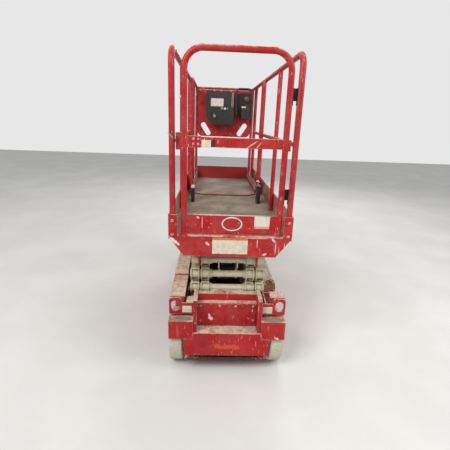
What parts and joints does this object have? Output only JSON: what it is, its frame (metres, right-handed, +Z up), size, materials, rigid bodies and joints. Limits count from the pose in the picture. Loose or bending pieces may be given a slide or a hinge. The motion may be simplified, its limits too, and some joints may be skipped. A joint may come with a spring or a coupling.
{
  "type": "scissor lift",
  "caption": "Self-propelled electric slab scissor lift, lowered, with guard rails, entry gate, roll-out deck, steered wheels and swing-out trays.",
  "frame": {"origin": "on the floor under the middle of the whole machine", "axes": "+Y along the machine away from the entry gate, +X to the right of someone facing the gate, +Z up"},
  "size_m": [0.81, 2.44, 2.145],
  "materials": {
    "red_paint": "worn gloss red paint, chipped and dusty",
    "arm_paint": "worn cream paint, dusty",
    "deck_steel": "worn deck, dusty",
    "tyre_rubber": "non-marking rubber, dusty",
    "rim_paint": "worn pale paint",
    "black_plastic": "moulded, dusty",
    "bare_steel": "oiled steel",
    "rod_chrome": "polished",
    "block_grey": "moulded"
  },
  "bodies": {
    "chassis": {"chassis_floor": "red_paint", "tub_sides": "red_paint", "chassis_nose": "red_paint", "steered_axle": "bare_steel", "entry_steps": "red_paint", "bolted_panel": "red_paint", "corner_box_left": "red_paint", "corner_box_right": "red_paint", "pothole_guards": "red_paint"},
    "tray_left": {"tray_left": "red_paint", "battery_block": "block_grey"},
    "tray_right": {"tray_right": "red_paint", "hydraulic_block": "block_grey", "charger_block": "block_grey"},
    "wheel_near_left": {"tyre_near_left": "tyre_rubber", "rim_near_left": "rim_paint"},
    "wheel_near_right": {"tyre_near_right": "tyre_rubber", "rim_near_right": "rim_paint"},
    "knuckle_left": {"knuckle_left": "bare_steel"},
    "knuckle_right": {"knuckle_right": "bare_steel"},
    "wheel_far_left": {"tyre_far_left": "tyre_rubber", "rim_far_left": "rim_paint"},
    "wheel_far_right": {"tyre_far_right": "tyre_rubber", "rim_far_right": "rim_paint"},
    "steering_bar": {"steering_bar": "bare_steel"},
    "lift_barrel": {"lift_barrel": "bare_steel"},
    "lift_rod": {"lift_rod": "rod_chrome"},
    "platform": {"platform_deck": "deck_steel", "deck_bearers": "red_paint", "platform_frame": "red_paint", "entry_frame": "red_paint", "guard_rails_left": "red_paint", "guard_rails_right": "red_paint", "toe_boards": "red_paint", "guide_blocks": "black_plastic", "gate_hinges": "black_plastic"},
    "gate": {"gate": "red_paint"},
    "extension": {"extension_deck": "deck_steel", "extension_rails": "red_paint", "front_panel": "red_paint", "control_box": "black_plastic", "control_stick": "black_plastic"},
    "outer_arms_1": {"outer_arms_1": "arm_paint"},
    "inner_arms_1": {"inner_arms_1": "arm_paint"},
    "outer_arms_2": {"outer_arms_2": "arm_paint"},
    "inner_arms_2": {"inner_arms_2": "arm_paint"},
    "outer_arms_3": {"outer_arms_3": "arm_paint"},
    "inner_arms_3": {"inner_arms_3": "arm_paint"},
    "outer_arms_4": {"outer_arms_4": "arm_paint"},
    "inner_arms_4": {"inner_arms_4": "arm_paint"}
  },
  "joints": [
    {"name": "lift", "type": "hinge", "parent": "chassis", "child": "outer_arms_1", "pos_m": [0, -0.98, 0.334], "axis": [1, 0, 0], "range_deg": [0, 51]},
    {"name": "inner_pivot_1", "type": "hinge", "parent": "outer_arms_1", "child": "inner_arms_1", "pos_m": [0, -0.16185, 0.389], "axis": [1, 0, 0], "range_deg": [-104, 0]},
    {"name": "outer_pivot_2", "type": "hinge", "parent": "inner_arms_1", "child": "outer_arms_2", "pos_m": [0, -0.98, 0.444], "axis": [1, 0, 0], "range_deg": [0, 104]},
    {"name": "inner_pivot_2", "type": "hinge", "parent": "outer_arms_2", "child": "inner_arms_2", "pos_m": [0, -0.16185, 0.499], "axis": [1, 0, 0], "range_deg": [-104, 0]},
    {"name": "outer_pivot_3", "type": "hinge", "parent": "inner_arms_2", "child": "outer_arms_3", "pos_m": [0, -0.98, 0.554], "axis": [1, 0, 0], "range_deg": [0, 104]},
    {"name": "inner_pivot_3", "type": "hinge", "parent": "outer_arms_3", "child": "inner_arms_3", "pos_m": [0, -0.16185, 0.609], "axis": [1, 0, 0], "range_deg": [-104, 0]},
    {"name": "outer_pivot_4", "type": "hinge", "parent": "inner_arms_3", "child": "outer_arms_4", "pos_m": [0, -0.98, 0.664], "axis": [1, 0, 0], "range_deg": [0, 104]},
    {"name": "inner_pivot_4", "type": "hinge", "parent": "outer_arms_4", "child": "inner_arms_4", "pos_m": [0, -0.16185, 0.719], "axis": [1, 0, 0], "range_deg": [-104, 0]},
    {"name": "platform_pivot", "type": "hinge", "parent": "inner_arms_4", "child": "platform", "pos_m": [0, -0.98, 0.774], "axis": [1, 0, 0], "range_deg": [0, 52]},
    {"name": "barrel_pivot", "type": "hinge", "parent": "inner_arms_2", "child": "lift_barrel", "pos_m": [0, 0.55653, 0.45071], "axis": [1, 0, 0], "range_deg": [-13.19, 0]},
    {"name": "rod_slide", "type": "slide", "parent": "lift_barrel", "child": "lift_rod", "axis": [0, -0.9898, 0.1423], "range_m": [0, 1.2197]},
    {"name": "steer", "type": "hinge", "parent": "chassis", "child": "knuckle_right", "pos_m": [0.25, 0.93, 0.19], "axis": [0, 0, 1], "range_deg": [-50, 50]},
    {"name": "steer_left", "type": "hinge", "parent": "chassis", "child": "knuckle_left", "pos_m": [-0.25, 0.93, 0.19], "axis": [0, 0, 1], "range_deg": [-50, 50]},
    {"name": "steer_bar", "type": "slide", "parent": "chassis", "child": "steering_bar", "axis": [1, 0, 0], "range_m": [-0.0922, 0.0922]},
    {"name": "spin_near_left", "type": "hinge", "parent": "chassis", "child": "wheel_near_left", "pos_m": [-0.3575, -1.015, 0.19], "axis": [1, 0, 0], "continuous": true},
    {"name": "spin_near_right", "type": "hinge", "parent": "chassis", "child": "wheel_near_right", "pos_m": [0.3575, -1.015, 0.19], "axis": [1, 0, 0], "continuous": true},
    {"name": "spin_far_left", "type": "hinge", "parent": "knuckle_left", "child": "wheel_far_left", "pos_m": [-0.3575, 0.93, 0.19], "axis": [1, 0, 0], "continuous": true},
    {"name": "spin_far_right", "type": "hinge", "parent": "knuckle_right", "child": "wheel_far_right", "pos_m": [0.3575, 0.93, 0.19], "axis": [1, 0, 0], "continuous": true},
    {"name": "gate_swing", "type": "hinge", "parent": "platform", "child": "gate", "pos_m": [0.351, -1.1137, 1.5], "axis": [0, 0, -1], "range_deg": [0, 90], "stiffness_Nm_per_rad": 6},
    {"name": "deck_rollout", "type": "slide", "parent": "platform", "child": "extension", "axis": [0, 1, 0], "range_m": [0, 0.9]},
    {"name": "tray_left_swing", "type": "hinge", "parent": "chassis", "child": "tray_left", "pos_m": [-0.388, -0.797, 0.3], "axis": [0, 0, 1], "range_deg": [0, 85]},
    {"name": "tray_right_swing", "type": "hinge", "parent": "chassis", "child": "tray_right", "pos_m": [0.388, -0.797, 0.3], "axis": [0, 0, -1], "range_deg": [0, 85]}
  ],
  "couplings": [
    {"joint": "inner_pivot_1", "follows": "lift", "ratio": -2},
    {"joint": "outer_pivot_2", "follows": "lift", "ratio": 2},
    {"joint": "inner_pivot_2", "follows": "lift", "ratio": -2},
    {"joint": "outer_pivot_3", "follows": "lift", "ratio": 2},
    {"joint": "inner_pivot_3", "follows": "lift", "ratio": -2},
    {"joint": "outer_pivot_4", "follows": "lift", "ratio": 2},
    {"joint": "inner_pivot_4", "follows": "lift", "ratio": -2},
    {"joint": "platform_pivot", "follows": "lift", "ratio": 1},
    {"joint": "barrel_pivot", "follows": "lift", "ratio": -0.2469},
    {"joint": "rod_slide", "follows": "lift", "m_per_rad": 1.3478},
    {"joint": "steer_left", "follows": "steer", "ratio": 1},
    {"joint": "steer_bar", "follows": "steer", "m_per_rad": 0.1053}
  ]
}
